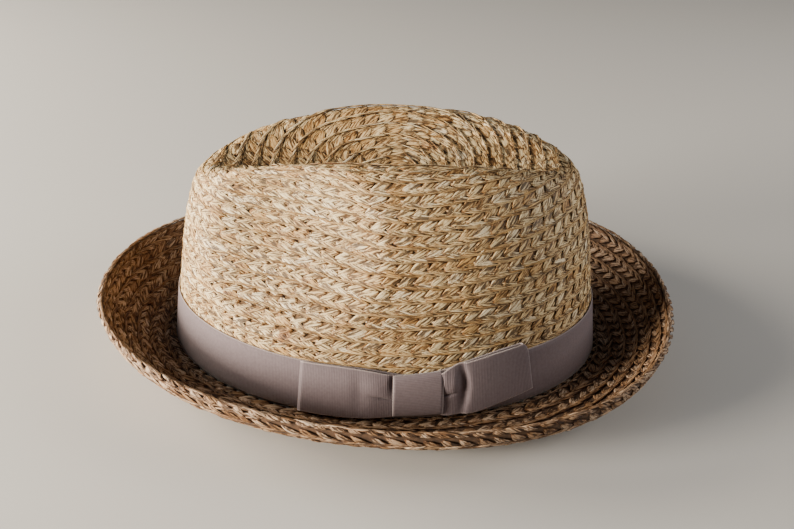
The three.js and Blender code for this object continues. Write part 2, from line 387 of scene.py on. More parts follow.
def strand_column(tree, given, path, kept, arm, number):
    """The strands of one arm, laid along the path and bent onto the skin."""

    def spread(name):
        """A random number for each strand."""
        low, high = STRAY[name]
        own_seed = float(number * SEEDS_PER_ARM + list(STRAY).index(name) + 1)
        seed = add_node(tree, "ShaderNodeMath", {0: given["Seed"], 1: own_seed}).outputs[0]
        chance = add_node(tree, "FunctionNodeRandomValue", {"Min": low, "Max": high, "Seed": seed})
        return chance.outputs[1]

    def loose(name):
        """How far each strand strays, scaled by how loose the plait is."""
        return add_node(
            tree, "ShaderNodeMath", {0: spread(name), 1: given["Looseness"]}, operation="MULTIPLY"
        ).outputs[0]

    def scaled(name):
        """An input of this arm, varied by a share of itself."""
        size = given[f"{arm} {name}"]
        return add_node(
            tree, "ShaderNodeMath", {0: loose(name), 1: size, 2: size}, operation="MULTIPLY_ADD"
        ).outputs[0]

    def strayed(name):
        """An input of this arm, moved by a length."""
        return add_node(tree, "ShaderNodeMath", {0: given[f"{arm} {name}"], 1: loose(name)}).outputs[0]

    def with_drawn(name, base):
        """A value that changes where the plait is drawn."""
        return add_node(
            tree, "ShaderNodeMath", {0: kept["drawn"], 1: given[f"{arm} drawn {name}"], 2: base},
            operation="MULTIPLY_ADD",
        ).outputs[0]

    across = add_node(
        tree, "ShaderNodeMath", {0: strayed("across"), 1: kept["spacing"]}, operation="MULTIPLY"
    ).outputs[0]
    up_offset = add_node(
        tree, "ShaderNodeVectorMath", {0: path["upward"], "Scale": across}, operation="SCALE"
    ).outputs[0]
    on_offset = add_node(
        tree, "ShaderNodeVectorMath", {0: path["tangent"], "Scale": strayed("shift")}, operation="SCALE"
    ).outputs[0]
    offset = add_node(tree, "ShaderNodeVectorMath", {0: up_offset, 1: on_offset}).outputs[0]
    upright = add_node(
        tree, "FunctionNodeAlignRotationToVector", {"Vector": path["outward"]}, axis="Z", pivot_axis="AUTO"
    ).outputs[0]
    facing = add_node(
        tree, "FunctionNodeAlignRotationToVector", {"Rotation": upright, "Vector": path["tangent"]},
        axis="X", pivot_axis="Z",
    ).outputs[0]
    drawn_slant = with_drawn("slant", given[f"{arm} slant"])
    slant = add_node(tree, "ShaderNodeMath", {0: drawn_slant, 1: loose("slant")}).outputs[0]
    slanted = add_node(
        tree, "FunctionNodeAxisAngleToRotation", {"Axis": (0.0, 0.0, 1.0), "Angle": slant}
    ).outputs[0]
    turned = add_node(
        tree, "FunctionNodeRotateRotation", {"Rotation": facing, "Rotate By": slanted},
        rotation_space="LOCAL",
    ).outputs[0]
    points = add_node(tree, "GeometryNodeStoreNamedAttribute", {
        "Geometry": path["steps"], "Name": "facing", "Value": turned,
    }, data_type="QUATERNION", domain="POINT").outputs["Geometry"]
    moved = add_node(
        tree, "GeometryNodeSetPosition", {"Geometry": points, "Offset": offset}
    ).outputs["Geometry"]

    tone = add_node(
        tree, "ShaderNodeMath", {0: spread("palest"), 1: with_drawn("palest", given[f"{arm} palest"])},
        operation="MULTIPLY",
    ).outputs[0]
    width = add_node(
        tree, "ShaderNodeMath", {0: scaled("width"), 1: with_drawn("width", kept["spacing"])},
        operation="MULTIPLY",
    ).outputs[0]
    size = add_node(tree, "ShaderNodeCombineXYZ", {"X": scaled("length"), "Y": width, "Z": 1.0}).outputs[0]
    strand = add_node(tree, "GeometryNodeObjectInfo", {"Object": given[f"{arm} strand"]}).outputs["Geometry"]
    facing_kept = add_node(
        tree, "GeometryNodeInputNamedAttribute", {"Name": "facing"}, data_type="QUATERNION"
    ).outputs["Attribute"]
    laid = add_node(tree, "GeometryNodeInstanceOnPoints", {
        "Points": moved, "Instance": strand, "Rotation": facing_kept, "Scale": size,
    }).outputs["Instances"]
    for name, value in (
        ("tone", tone),
        ("body", scaled("thickness")),
        ("height", loose("height")),
        ("lean", loose("lean")),
    ):
        laid = add_node(tree, "GeometryNodeStoreNamedAttribute", {
            "Geometry": laid, "Name": name, "Value": value,
        }, data_type="FLOAT", domain="INSTANCE").outputs["Geometry"]
    solid = add_node(tree, "GeometryNodeRealizeInstances", {"Geometry": laid}).outputs["Geometry"]

    lift = add_node(
        tree, "ShaderNodeMath", {0: kept["lift"], 1: kept["body"], 2: kept["height"]},
        operation="MULTIPLY_ADD",
    ).outputs[0]
    raised = add_node(tree, "ShaderNodeMath", {0: lift, 1: given[f"{arm} rise"]}).outputs[0]
    dropped = add_node(
        tree, "ShaderNodeMath", {0: kept["along"], 1: given[f"{arm} fall"], 2: raised},
        operation="MULTIPLY_ADD",
    ).outputs[0]
    leaning = add_node(tree, "ShaderNodeMath", {0: kept["lean"], 1: given[f"{arm} tilt"]}).outputs[0]
    height = add_node(
        tree, "ShaderNodeMath", {0: kept["aside"], 1: leaning, 2: dropped}, operation="MULTIPLY_ADD"
    ).outputs[0]
    lifted = add_node(
        tree, "ShaderNodeVectorMath", {0: path["outward"], "Scale": height}, operation="SCALE"
    ).outputs[0]
    seat = add_node(tree, "ShaderNodeVectorMath", {0: path["nearest"], 1: lifted}).outputs[0]
    bent = add_node(tree, "GeometryNodeSetPosition", {"Geometry": solid, "Position": seat})
    return bent.outputs["Geometry"]


def plait_tree(arms):
    """Lays strands along a path, one column for each arm, bends them onto the surface and joins them."""
    tree = bpy.data.node_groups.new("raffia plait", "GeometryNodeTree")
    shared = {
        "Path": "NodeSocketGeometry",
        "Skin": "NodeSocketObject",
        "Pitch": "NodeSocketFloat",
        "Looseness": "NodeSocketFloat",
        "Seed": "NodeSocketInt",
        "Finish": "NodeSocketMaterial",
    }
    for name, kind in shared.items():
        tree.interface.new_socket(name, in_out="INPUT", socket_type=kind)
    for arm in arms:
        for name, kind in ARM_INPUTS.items():
            tree.interface.new_socket(f"{arm} {name}", in_out="INPUT", socket_type=kind)
    tree.interface.new_socket("Plait", in_out="OUTPUT", socket_type="NodeSocketGeometry")
    given = add_node(tree, "NodeGroupInput").outputs

    skin = add_node(tree, "GeometryNodeObjectInfo", {"Object": given["Skin"]}).outputs["Geometry"]
    normal = add_node(tree, "GeometryNodeInputNormal").outputs["Normal"]
    outward = add_node(
        tree, "GeometryNodeSampleNearestSurface", {"Mesh": skin, "Value": normal}, data_type="FLOAT_VECTOR"
    ).outputs["Value"]
    nearest = add_node(tree, "GeometryNodeProximity", {"Geometry": skin}, target_element="FACES")
    curve = add_node(tree, "GeometryNodeMeshToCurve", {"Mesh": given["Path"]}).outputs["Curve"]
    steps = add_node(
        tree, "GeometryNodeResampleCurve", {"Curve": curve, "Length": given["Pitch"]}, mode="LENGTH"
    ).outputs["Curve"]
    tangent = add_node(tree, "GeometryNodeInputTangent").outputs["Tangent"]
    upward = add_node(tree, "ShaderNodeVectorMath", {0: outward, 1: tangent}, operation="CROSS_PRODUCT")
    path = {
        "steps": steps,
        "tangent": tangent,
        "outward": outward,
        "upward": upward.outputs[0],
        "nearest": nearest.outputs["Position"],
    }
    kept = {}
    for name in ("spacing", "drawn", "along", "aside", "lift", "body", "height", "lean"):
        value = add_node(tree, "GeometryNodeInputNamedAttribute", {"Name": name}, data_type="FLOAT")
        kept[name] = value.outputs["Attribute"]

    columns = add_node(tree, "GeometryNodeJoinGeometry")
    for number, arm in enumerate(arms):
        tree.links.new(strand_column(tree, given, path, kept, arm, number), columns.inputs[0])
    finished = add_node(tree, "GeometryNodeSetMaterial", {
        "Geometry": columns.outputs[0], "Material": given["Finish"],
    })
    add_node(tree, "NodeGroupOutput", {0: finished.outputs["Geometry"]})
    return tree


def sample(grid, turns, shares):
    """Points of a grid that closes around its first axis, at turns and at shares of its second axis."""
    around = grid.shape[0]
    last = grid.shape[1] - 1
    column = turns / (2 * math.pi) % 1 * around
    row = np.clip(shares, 0, 1) * last
    i = column.astype(int) % around
    j = np.minimum(row.astype(int), last - 1)
    u = (column - np.floor(column))[:, None]
    v = (row - j)[:, None]
    near = between(grid[i, j], grid[(i + 1) % around, j], u)
    far = between(grid[i, j + 1], grid[(i + 1) % around, j + 1], u)
    return between(near, far, v)


def spiral_path(name, grid, first_row, last_row, place, spacing=None, drawn=None, kept=None):
    """The plait's middle line from one row to another; place gives the grid's share at turns and rows."""
    rows = np.linspace(first_row, last_row, int((last_row - first_row) * 2 * math.pi / PATH_STEP))
    turns = rows * 2 * math.pi
    points = sample(grid, turns, place(turns, rows))
    on_it = kept(turns, rows) if kept else np.ones(len(rows), bool)
    path = new_object(name, points, [], [(i, i + 1) for i in range(len(rows) - 1) if on_it[i]])
    spacings = spacing(turns, rows) if spacing else np.ones(len(rows))
    drawn_by = drawn(turns) if drawn else np.zeros(len(rows))
    path.data.attributes.new("spacing", "FLOAT", "POINT").data.foreach_set("value", spacings)
    path.data.attributes.new("drawn", "FLOAT", "POINT").data.foreach_set("value", drawn_by)
    return path


def evaluated_copy(source, name):
    """The source with its modifiers made real, as a plain mesh object; the source is removed."""
    graph = bpy.context.evaluated_depsgraph_get()
    mesh = bpy.data.meshes.new_from_object(source.evaluated_get(graph), depsgraph=graph)
    bpy.data.objects.remove(source)
    mesh.name = name
    piece = bpy.data.objects.new(name, mesh)
    bpy.context.scene.collection.objects.link(piece)
    return piece


PLAIT_TREES = {}


def plait(name, path, skin, arms, finish, looseness, seed):
    """A stretch of plait along a path."""
    kind = tuple(arms)
    if kind not in PLAIT_TREES:
        PLAIT_TREES[kind] = plait_tree(kind)
    sewing = path.modifiers.new("sewing", "NODES")
    sewing.node_group = PLAIT_TREES[kind]
    values = {
        "Skin": skin, "Pitch": PLAIT_PITCH * MM, "Looseness": looseness, "Seed": seed, "Finish": finish,
    }
    for arm, sizes in arms.items():
        for key, value in sizes.items():
            values[f"{arm} {key}"] = value if key in UNSCALED_INPUTS else value * MM
    for socket in sewing.node_group.interface.items_tree:
        if socket.in_out == "INPUT" and socket.name in values:
            sewing[socket.identifier] = values[socket.name]
    piece = evaluated_copy(path, name)
    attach(piece, "root")
    return piece


# A real leaf has about twice as many fibres across, too fine to show here
FIBRES_ACROSS = 5.0
FIBRE_BREAKS_ALONG = 1.8
# Sets each strand's fibres apart from the others'
FIBRE_SHIFT = 97.0
FLECK_SPACING = 13.33
FLECK_EDGES = (0.66, 0.74)


def raffia_material(name, tones, fleck_colour):
    """Folded palm leaf, with its tones from the darkest strand to the palest."""
    material, tree = new_material(name)
    tone = add_node(tree, "ShaderNodeAttribute", attribute_name="tone").outputs["Fac"]
    along = add_node(tree, "ShaderNodeAttribute", attribute_name="along").outputs["Fac"]
    aside = add_node(tree, "ShaderNodeAttribute", attribute_name="aside").outputs["Fac"]
    strand_place = add_node(tree, "ShaderNodeCombineXYZ", {"X": along, "Y": aside, "Z": tone}).outputs[0]
    fibre_place = add_node(
        tree, "ShaderNodeVectorMath",
        {0: strand_place, 1: (FIBRE_BREAKS_ALONG, FIBRES_ACROSS / 2, FIBRE_SHIFT)}, operation="MULTIPLY",
    )
    fibres = add_node(tree, "ShaderNodeTexNoise", {
        "Vector": fibre_place.outputs[0], "Scale": 1.0, "Detail": 3.0, "Roughness": 0.62,
    }).outputs["Fac"]
    leaf_colour = colour_ramp(tree, tone, tones)
    place = add_node(tree, "ShaderNodeTexCoord").outputs["Object"]
    weathering = add_node(
        tree, "ShaderNodeTexNoise", {"Vector": place, "Scale": 1 / (FLECK_SPACING * MM), "Detail": 4.0}
    ).outputs["Fac"]
    flecked = add_node(tree, "ShaderNodeMapRange", {
        "Value": weathering, "From Min": FLECK_EDGES[0], "From Max": FLECK_EDGES[1], "To Max": 0.75,
    }).outputs[0]
    with_flecks = add_node(
        tree, "ShaderNodeMix", {0: flecked, 6: leaf_colour, 7: linear(fleck_colour)}, data_type="RGBA"
    ).outputs[2]
    fibre_colour = colour_ramp(tree, fibres, [(0.43, "#46301f"), (0.485, "#b09578"), (0.54, "#ffffff")])
    with_fibres = add_node(
        tree, "ShaderNodeMix", {0: 0.9, 6: with_flecks, 7: fibre_colour},
        data_type="RGBA", blend_type="MULTIPLY",
    ).outputs[2]
    # Painted shade: each strand is coloured darker where it lies low, at its edges, its ends and the folds of
    # its notches
    lift = add_node(tree, "ShaderNodeAttribute", attribute_name="lift").outputs["Fac"]
    painted_edge_shade = colour_ramp(tree, lift, [(0.0, "#785a42"), (0.18, "#b8997a"), (0.45, "#ffffff")])
    with_painted_edge_shade = add_node(
        tree, "ShaderNodeMix", {0: 0.95, 6: with_fibres, 7: painted_edge_shade},
        data_type="RGBA", blend_type="MULTIPLY",
    ).outputs[2]
    grain = add_node(tree, "ShaderNodeBump", {"Height": fibres, "Strength": 1.0, "Distance": 0.4 * MM})
    surface = add_node(tree, "ShaderNodeBsdfPrincipled", {
        "Base Color": with_painted_edge_shade,
        "Roughness": 0.6,
        "IOR": 1.4,
        "Normal": grain.outputs["Normal"],
    })
    add_node(tree, "ShaderNodeOutputMaterial", {"Surface": surface.outputs["BSDF"]})
    return material


# Raffia: split palm leaf, dried and folded, matt, with dark lines between its fibres; each strand has its
# own tone from bleached to tan, and a few carry an orange-brown fleck
raffia = raffia_material("plaited raffia", [
    (0.0, "#c9a369"), (0.1, "#dcbc87"), (0.4, "#e9d1a1"), (0.75, "#efdbae"), (1.0, "#f8ebca"),
], "#a8703c")

LEAF = strand_template("leaf_template", LEAF_STATIONS, LEAF_SECTION)
ROLL = strand_template("roll_template", ROLL_STATIONS, ROLL_SECTION)
STRIP = strand_template("strip_template", ROLL_STATIONS, LEAF_SECTION)
CROWN_ARMS = {
    "leaf": {
        "strand": LEAF, "slant": math.radians(33), "length": 10.8, "width": 4.8, "thickness": 0.55,
        "across": 0.9, "shift": 0.0, "rise": 0.25, "fall": -0.6, "tilt": 0.1, "palest": 1.0,
        "drawn width": -0.4, "drawn slant": math.radians(-8),
    },
    "roll": {
        "strand": STRIP, "slant": math.radians(-14), "length": 11.0, "width": 2.8, "thickness": 0.55,
        "across": -1.6, "shift": 0.3, "rise": 0.25, "fall": 0.0, "tilt": -0.05, "palest": 1.0,
        "drawn width": 0.8, "drawn slant": math.radians(-8),
    },
    "lip": {
        "strand": ROLL, "slant": math.radians(-3), "length": 13.5, "width": 1.1, "thickness": 0.6,
        "across": -2.75, "shift": 2.4, "rise": 0.5, "fall": 0.0, "tilt": -0.15, "palest": 0.3,
    },
}
profile_lengths = np.linalg.norm(np.diff(crown_grid, axis=1), axis=2).sum(axis=1)


def rows_at(turns):
    """The profile's length, the length as far as the ridge, the spacing below it and the ridge's row."""
    share_round = turns / (2 * math.pi) % 1
    lengths = np.interp(
        share_round, np.linspace(0, 1, len(profile_lengths), endpoint=False), profile_lengths, period=1
    )
    ridges = np.interp(share_round * 360, RIDGE_LENGTHS[:, 0], RIDGE_LENGTHS[:, 1], period=360)
    below = ROW_SPACING + BACK_ROWS_WIDER * np.clip(np.cos(turns), 0, 1) ** 2
    return lengths, ridges, below, CROWN_ROWS - (lengths - ridges) / below


def crown_place(turns, rows):
    """Rows run level with the foot up to the ridge, and share the dent evenly above it."""
    lengths, ridges, below, ridge_rows = rows_at(turns)
    from_foot = lengths - (CROWN_ROWS - rows) * below
    return np.where(rows > ridge_rows, from_foot, ridges * rows / ridge_rows) / lengths


# The row spacing changes over this many rows at the ridge, and the dent's plait ends a little above it
RIDGE_ROWS = 1.4
RIDGE_GAP = 0.2


def crown_spacing(turns, rows):
    """The row spacing at turns and rows, as a share of the plait's own."""
    lengths, ridges, below, ridge_rows = rows_at(turns)
    past_ridge = np.clip((rows - ridge_rows) / RIDGE_ROWS + 0.5, 0, 1)
    return between(ridges / ridge_rows, below, past_ridge) / ROW_SPACING


def in_dent(turns, rows):
    return rows < rows_at(turns)[3] - RIDGE_GAP


def below_ridge(turns, rows):
    return ~in_dent(turns, rows)


# In degrees: the blocking has drawn the plait flat round one turn, on the wearer's left toward the front
DRAWN_FLAT = {"at": 228.0, "reach": 18.0, "fade": 24.0}
PRESSED = {"steepness": 2.5, "at_the_middle": 0.6}


def drawn_flat(turns):
    """How far the plait is drawn flat: fully round that turn, not at all elsewhere."""
    away = np.abs((np.degrees(turns) - DRAWN_FLAT["at"] + 180) % 360 - 180)
    return 1 - np.clip((away - DRAWN_FLAT["reach"]) / DRAWN_FLAT["fade"], 0, 1)


def drawn_smooth(turns):
    """How smoothly the rows are pressed in the dent: fully toward the back, not at all in front."""
    return np.clip(PRESSED["steepness"] * np.cos(turns) + PRESSED["at_the_middle"], 0, 1)


SEAT_DEPTH = 0.6
outer_seat = crown_grid - crown_normals * SEAT_DEPTH
outer_skin = sheet_object("outer_skin", outer_seat)
# In the dent the lips stand proud in front, as cords; toward the back the rows are smooth as rope
# Painted shade: in front the dent's leaves and rolled strands keep to darker tones; toward the back they reach
# the palest
DENT_ARMS = {
    "leaf": {
        **CROWN_ARMS["leaf"], "slant": math.radians(42), "length": 13.0, "width": 3.9, "palest": 0.4,
        "drawn width": 0.9, "drawn slant": math.radians(-25), "drawn palest": 0.6,
    },
    "roll": {
        **CROWN_ARMS["roll"], "slant": math.radians(16), "palest": 0.4,
        "drawn width": 0.2, "drawn slant": math.radians(-6), "drawn palest": 0.6,
    },
    "lip": {
        **CROWN_ARMS["lip"], "rise": 1.15, "width": 0.95, "palest": 1.0,
        "drawn width": -0.8, "drawn slant": 0.0,
    },
}
for name, first, last, arms, drawn, kept, looseness, seed in (
    ("crown_plait_dent", 0.35, 12.0, DENT_ARMS, drawn_smooth, in_dent, 0.4, 3),
    ("crown_plait_top", 6.0, 17.5, CROWN_ARMS, drawn_flat, below_ridge, 0.8, 5),
    ("crown_plait_foot", 17.5, CROWN_ROWS - 0.6, CROWN_ARMS, drawn_flat, None, 0.65, 7),
):
    path = spiral_path(name + "_path", outer_seat, first, last, crown_place, crown_spacing, drawn, kept)
    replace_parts(plait(name, path, outer_skin, arms, raffia, looseness, seed), "crown")


# Inside of the crown: the back of the same raffia plait, bare as it is sewn. It is flatter than the
# outside, because the sewing draws the rows together there
INSIDE_DEPTH = 1.9
INSIDE_ARMS = {
    "leaf": {
        "strand": ROLL, "slant": math.radians(30), "length": 9.2, "width": 4.2, "thickness": 0.5,
        "across": 1.2, "shift": 0.0, "rise": 0.0, "fall": -0.3, "tilt": 0.05, "palest": 1.0,
    },
    "roll": {
        "strand": ROLL, "slant": math.radians(-28), "length": 8.5, "width": 3.4, "thickness": 0.5,
        "across": -1.5, "shift": 1.0, "rise": 0.0, "fall": 0.0, "tilt": 0.05, "palest": 1.0,
    },
}
inner_seat = crown_grid - crown_normals * INSIDE_DEPTH
inner_skin = sheet_object("inner_skin", inner_seat, flip=True)
for name, first, last, seed in (
    ("crown_inside_top", 0.35, 17.0, 11),
    ("crown_inside_foot", 17.0, CROWN_ROWS - 0.1, 13),
):
    path = spiral_path(name + "_path", inner_seat, first, last, crown_place)
    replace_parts(plait(name, path, inner_skin, INSIDE_ARMS, raffia, 0.8, seed), "crown")


# Brim foundation: the same spiral of plait goes on outward, pressed flat beside the crown and then
# steamed up into a bowl, with its last row standing nearly upright
RIM = {"length": 140.8, "width": 130.0, "squareness": 2.14, "egg": 0.09}
RIM_RISE = {"at_sides": 22.0, "more_at_ends": 2.3}
# Columns: share of the way out, share of the rise
BRIM_SECTIONS = np.array([
    (0.0, 0.0),
    (0.16, 0.0),
    (0.32, 0.03),
    (0.5, 0.14),
    (0.68, 0.32),
    (0.82, 0.5),
    (0.92, 0.66),
    (0.975, 0.82),
    (1.0, 1.0),
])
BRIM_GRID = {"around": 300, "along": 40}
SECTION_STEPS = 200


def super_oval(turn, length, width, squareness):
    cosine = math.cos(turn)
    sine = math.sin(turn)
    x = length * math.copysign(abs(cosine) ** (2 / squareness), cosine)
    y = width * math.copysign(abs(sine) ** (2 / squareness), sine)
    return np.array([x, y])


def brim_profile(turn, shares):
    """Points of the brim's top at even shares of its own length from the crown to the rim."""
    foot = super_oval(turn, FOOT["length"], FOOT["width"], 2.0)
    half_length = RIM["length"] - STRAW_THICKNESS
    half_width = RIM["width"] - STRAW_THICKNESS
    rim = super_oval(turn, half_length, half_width, RIM["squareness"])
    rim[1] *= 1 + RIM["egg"] * math.cos(turn)
    rise = RIM_RISE["at_sides"] + RIM_RISE["more_at_ends"] * math.cos(turn) ** 2
    out = np.linspace(0, 1, SECTION_STEPS)
    up = np.interp(out, BRIM_SECTIONS[:, 0], BRIM_SECTIONS[:, 1])
    plan = between(foot, rim, out[:, None])
    line = np.column_stack([plan, STRAW_THICKNESS + rise * up])
    lengths = np.concatenate([[0], np.cumsum(np.linalg.norm(np.diff(line, axis=0), axis=1))])
    return np.stack([np.interp(shares * lengths[-1], lengths, line[:, i]) for i in range(3)], axis=-1)


brim_shares = np.linspace(0, 1, BRIM_GRID["along"])
brim_grid = np.stack([brim_profile(turn, brim_shares) for turn in turns_around(BRIM_GRID["around"])])
brim_normals = grid_normals(brim_grid)


def under_brim(depth):
    """The brim's top moved down by a depth, and kept above the surface that the hat stands on."""
    moved = brim_grid - brim_normals * depth
    moved[..., 2] = np.maximum(moved[..., 2], STRAW_THICKNESS - depth)
    return moved


BRIM_SHELL_DEPTHS = (0.75, 1.3)
brim_shell = shell_object(
    "brim_shell", *(plainer(under_brim(depth)) for depth in BRIM_SHELL_DEPTHS), closed_top=False
)
# The brim's shell is painted dark, as the shade inside the plait's gaps
brim_shell.data.materials.append(gap_shade_material("raffia painted with shade in the brim's gaps", "#402e20", "#654a34"))
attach(brim_shell, "root")
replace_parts(brim_shell, "brim")


# Raffia plait on the brim: six rows and a half on each face, and at both ends of the spiral a turn that
# narrows to nothing. Each row's sewn edge laps over the next row on top, and the other way round below
BRIM_ROWS = 6.5
UNDER_DEPTH = 1.3
BRIM_ARMS = {
    "leaf": {
        "strand": LEAF, "slant": math.radians(30), "length": 10.0, "width": 4.4, "thickness": 0.85,
        "across": 1.3, "shift": 0.0, "rise": 0.2, "fall": -0.7, "tilt": 0.12, "palest": 1.0,
    },
    "roll": {
        "strand": ROLL, "slant": math.radians(-20), "length": 9.8, "width": 2.8, "thickness": 0.8,
        "across": -1.5, "shift": 0.6, "rise": 0.2, "fall": 0.0, "tilt": -0.1, "palest": 1.0,
    },
    "lip": {
        "strand": ROLL, "slant": math.radians(-6), "length": 12.5, "width": 1.9, "thickness": 0.8,
        "across": -2.7, "shift": 2.4, "rise": 0.45, "fall": 0.0, "tilt": -0.15, "palest": 0.3,
    },
}
UNDER_ARMS = {
    "leaf": {
        "strand": LEAF, "slant": math.radians(-32), "length": 9.8, "width": 4.3, "thickness": 0.85,
        "across": 1.3, "shift": 0.0, "rise": 0.1, "fall": 0.0, "tilt": 0.1, "palest": 1.0,
    },
    "roll": {
        "strand": ROLL, "slant": math.radians(10), "length": 12.0, "width": 3.0, "thickness": 0.7,
        "across": -2.0, "shift": 1.6, "rise": 0.1, "fall": 0.0, "tilt": 0.0, "palest": 1.0,
    },
}
# Raffia on the brim: the same leaf, in darker and browner tones than the crown's, which paint in the brim's
# shade
shaded_brim_raffia = raffia_material("plaited raffia of the brim, painted with shade", [
    (0.0, "#8e6c4d"), (0.12, "#a48360"), (0.4, "#b6997c"), (0.75, "#c2a88d"), (1.0, "#d1bba2"),
], "#7c4a24")


def full_rows(rows):
    return np.clip(rows, 0.5, BRIM_ROWS - 0.5)


def brim_place(turns, rows):
    """Full rows lie evenly; the turn before them and the turn after them run up to the brim's edges."""
    return (rows + full_rows(rows)) / 2 / BRIM_ROWS


def brim_spacing(turns, rows):
    """Those two turns narrow to nothing, as the spiral's ends do."""
    return 1 - np.abs(rows - full_rows(rows))


for name, depth, arms, underneath, first, seed in (
    ("brim_plait_top", SEAT_DEPTH, BRIM_ARMS, False, -0.3, 17),
    ("brim_plait_under", UNDER_DEPTH, UNDER_ARMS, True, -0.3, 19),
):
    seat = under_brim(depth)
    skin = sheet_object(name + "_skin", seat, flip=underneath)
    path = spiral_path(name + "_path", seat, first, BRIM_ROWS + 0.2, brim_place, brim_spacing)
    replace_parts(plait(name, path, skin, arms, shaded_brim_raffia, 1.0, seed), "brim")
    bpy.data.objects.remove(skin)


# Raffia over the rim: the last row of the brim's plait. Its strands turn over the edge like a rope, and
# nothing is bound over them
RIM_SEAT = {"radius": 0.8, "down": 4.0}
RIM_ARMS = {
    "leaf": {
        "strand": LEAF, "slant": math.radians(-28), "length": 8.8, "width": 3.5, "thickness": 0.75,
        "across": -1.4, "shift": 0.0, "rise": 0.2, "fall": 0.2, "tilt": 0.0, "palest": 1.0,
    },
    "roll": {
        "strand": ROLL, "slant": math.radians(-6), "length": 12.5, "width": 2.0, "thickness": 0.75,
        "across": 0.7, "shift": 1.0, "rise": 0.25, "fall": 0.0, "tilt": 0.0, "palest": 1.0,
    },
}
rim_upward = brim_grid[:, -1] - brim_grid[:, -2]
rim_upward /= np.linalg.norm(rim_upward, axis=1, keepdims=True)
rim_middle = brim_grid[:, -1] - brim_normals[:, -1] * STRAW_THICKNESS / 2
rim_rows = [(-RIM_SEAT["down"], 1.0), (-RIM_SEAT["down"] / 2, 1.0)]
rim_rows += [(RIM_SEAT["radius"] * math.sin(turn), math.cos(turn)) for turn in np.linspace(0, math.pi, 9)]
rim_rows += [(-RIM_SEAT["down"] / 2, -1.0), (-RIM_SEAT["down"], -1.0)]
rim_sideways = brim_normals[:, -1] * RIM_SEAT["radius"]
rim_grid = np.stack(
    [rim_middle + rim_upward * along + rim_sideways * side for along, side in rim_rows], axis=1
)
rim_skin = sheet_object("rim_skin", rim_grid)
rim_path = spiral_path("rim_path", rim_grid, 0.0, 1.0, lambda turns, rows: 0.5 + 0 * rows)
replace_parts(plait("rim_plait", rim_path, rim_skin, RIM_ARMS, shaded_brim_raffia, 1.0, 23), "brim")
bpy.data.objects.remove(rim_skin)


# Ribbon band: a grosgrain ribbon 24 mm wide, woven of cotton and viscose. It is drawn tight round the
# crown's foot and tacked under the bow
BAND_EDGES = (0.5, 24.7)
# The bow's wrap gathers the band's upper edge: place along the hat, reach and depth
BAND_DIPS = [(19.0, 16.0, 3.4), (-20.0, 50.0, 1.3)]
RIBBON_THICKNESS = 0.5
BAND_OUT = 0.85
BAND_GRID = {"around": 360, "across": 10}
SIDE_TURN = -math.pi / 2


def beside_wall(turn, out, height):
    """A point beside the crown's wall on a plan normal, in millimetres out from the straw."""
    normal = np.array([math.cos(turn) / FOOT["length"], math.sin(turn) / FOOT["width"], 0.0])
    point = wall_points(turn, np.array([height]))[0] + normal / np.linalg.norm(normal) * out
    point[2] += FOOT["height"]
    return point


def ribbon_object(name, rows, closed=False):
    """A ribbon from rows of points across it; its own map runs in millimetres along and across."""
    rows = np.asarray(rows)
    count, across = rows.shape[:2]
    steps = np.linalg.norm(np.diff(rows[:, across // 2], axis=0), axis=1)
    along = np.concatenate([[0], np.cumsum(steps)])
    faces = []
    places = []
    for i in range(count if closed else count - 1):
        beside = (i + 1) % count
        end = along[beside] if beside else along[-1] + steps[-1]
        for j in range(across - 1):
            faces.append((i * across + j, i * across + j + 1, beside * across + j + 1, beside * across + j))
            low, high = j / (across - 1), (j + 1) / (across - 1)
            places += [(along[i], low), (along[i], high), (end, high), (end, low)]
    ribbon = new_object(name, rows.reshape(-1, 3), faces)
    ribbon.data.shade_smooth()
    weave = ribbon.data.uv_layers.new(name="weave")
    weave.data.foreach_set("uv", np.array(places).ravel())
    wall = ribbon.modifiers.new("thickness", "SOLIDIFY")
    wall.thickness = RIBBON_THICKNESS * MM
    wall.offset = 0.0
    ribbon.data.materials.append(grosgrain)
    return ribbon


# Grosgrain: fine warp woven over thick weft, which gives a matt ribbon with ribs across it and paler
# edges. Real ribs lie closer, too fine to show here
grosgrain, tree = new_material("grosgrain ribbon")
weave = add_node(tree, "ShaderNodeUVMap", uv_map="weave").outputs["UV"]
axes = add_node(tree, "ShaderNodeSeparateXYZ", {"Vector": weave}).outputs
RIB_SPACING = 0.75
FUZZ_SIZE = 1.111
# Shares of the ribbon's width from its middle
SELVEDGE = (0.474, 0.49)
rib_turn = add_node(
    tree, "ShaderNodeMath", {0: axes["X"], 1: 2 * math.pi / RIB_SPACING}, operation="MULTIPLY"
).outputs[0]
rib = add_node(tree, "ShaderNodeMath", {0: rib_turn}, operation="SINE").outputs[0]
cloth_place = add_node(tree, "ShaderNodeTexCoord").outputs["Object"]
fuzz = add_node(
    tree, "ShaderNodeTexNoise", {"Vector": cloth_place, "Scale": 1 / (FUZZ_SIZE * MM), "Detail": 3.0}
).outputs["Fac"]
height = add_node(tree, "ShaderNodeMath", {0: rib, 1: 0.5, 2: fuzz}, operation="MULTIPLY_ADD").outputs[0]
past_middle = add_node(tree, "ShaderNodeMath", {0: axes["Y"], 1: 0.5}, operation="SUBTRACT").outputs[0]
from_middle = add_node(tree, "ShaderNodeMath", {0: past_middle}, operation="ABSOLUTE").outputs[0]
selvedge = add_node(tree, "ShaderNodeMapRange", {
    "Value": from_middle, "From Min": SELVEDGE[0], "From Max": SELVEDGE[1], "To Max": 0.8,
}).outputs[0]
rib_shade = add_node(tree, "ShaderNodeMath", {0: rib, 1: 0.25, 2: fuzz}, operation="MULTIPLY_ADD").outputs[0]
yarn_colour = colour_ramp(tree, rib_shade, [(0.2, "#6b5f63"), (0.8, "#7b6f74")])
cloth_colour = add_node(
    tree, "ShaderNodeMix", {0: selvedge, 6: yarn_colour, 7: linear("#a29594")}, data_type="RGBA"
).outputs[2]
ribs = add_node(tree, "ShaderNodeBump", {"Height": height, "Strength": 0.5, "Distance": 0.15 * MM})
